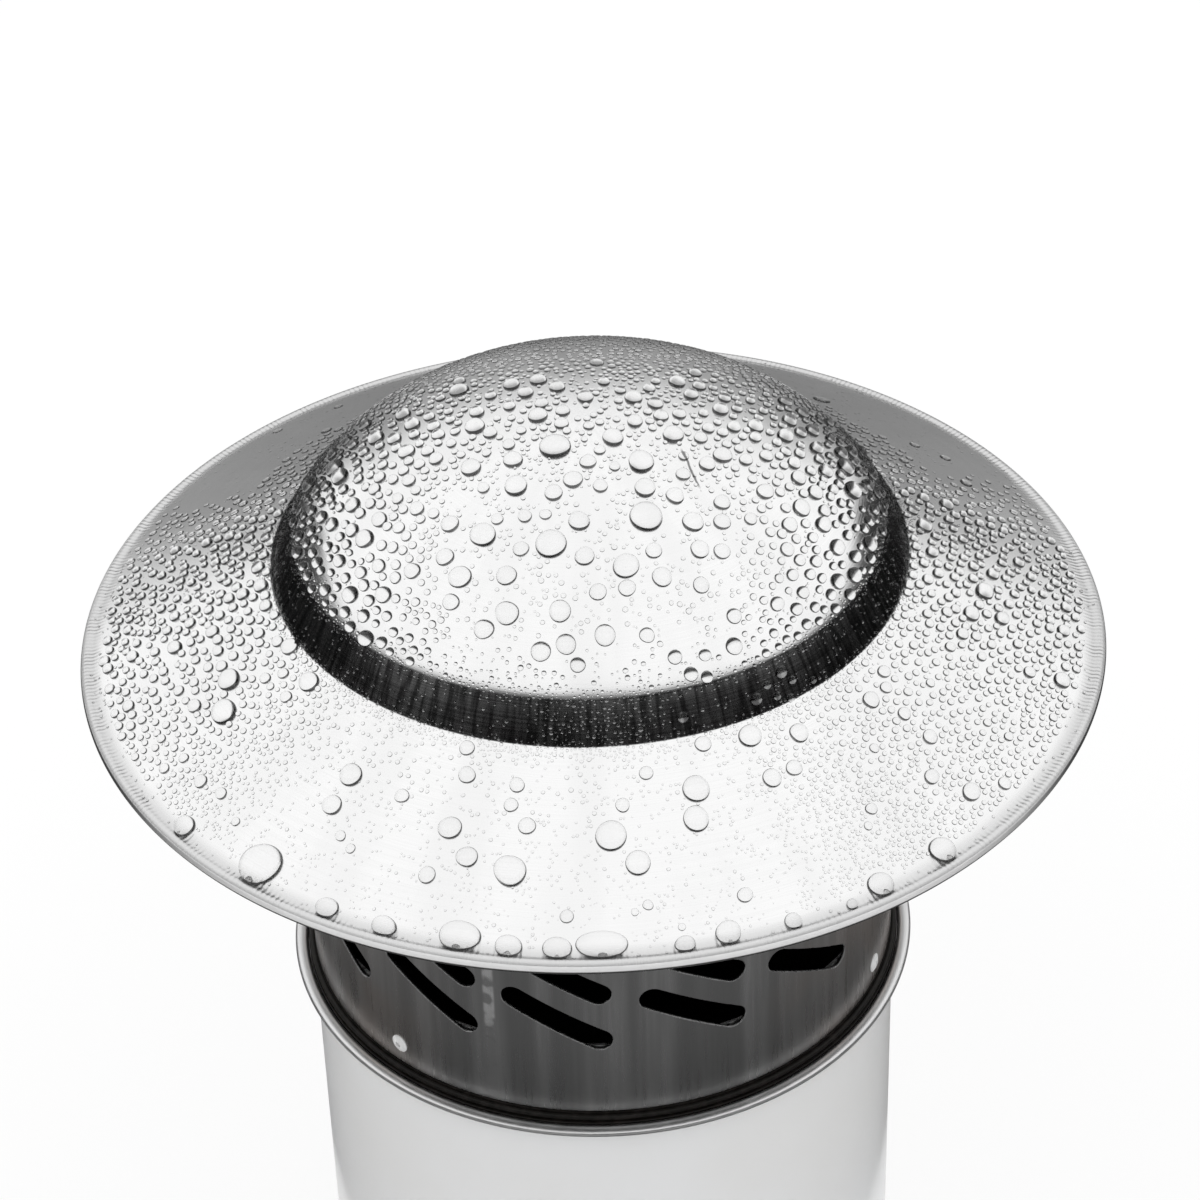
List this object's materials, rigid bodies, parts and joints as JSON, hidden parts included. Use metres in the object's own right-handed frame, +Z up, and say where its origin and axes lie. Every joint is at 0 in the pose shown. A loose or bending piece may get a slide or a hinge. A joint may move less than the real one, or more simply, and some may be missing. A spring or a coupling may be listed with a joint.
{
  "type": "chimney rain cap",
  "caption": "Domed round rain hat on a slotted steel cage that pulls out of the sealed top of a short white flue collar.",
  "frame": {"origin": "centre of the collar's lower edge, in the plane it stands on", "axes": "+Z up along the flue's axis, -Y to the front of the picture, +X to its right"},
  "size_m": [0.166, 0.166, 0.171],
  "materials": {
    "stainless": "bright spun stainless steel",
    "stainless_dark": "brushed stainless steel, darker",
    "rivet_aluminium": "bright",
    "mandrel_steel": "plain steel",
    "white_paint": "smooth white stove enamel",
    "seal_rubber": "matt black"
  },
  "bodies": {
    "collar": {"collar_tube": "white_paint", "rim_ring": "stainless", "seal_ring": "seal_rubber"},
    "cap_head": {"hat": "stainless", "rim_wire": "stainless", "cage": "stainless_dark", "spigot_sleeve": "stainless", "rivet_left": "rivet_aluminium", "rivet_right": "rivet_aluminium", "rivet_back": "rivet_aluminium", "mandrel_left": "mandrel_steel", "mandrel_right": "mandrel_steel", "mandrel_back": "mandrel_steel"}
  },
  "joints": [
    {"name": "cap_lift", "type": "slide", "parent": "collar", "child": "cap_head", "axis": [0, 0, 1], "range_m": [0, 0.03]}
  ]
}
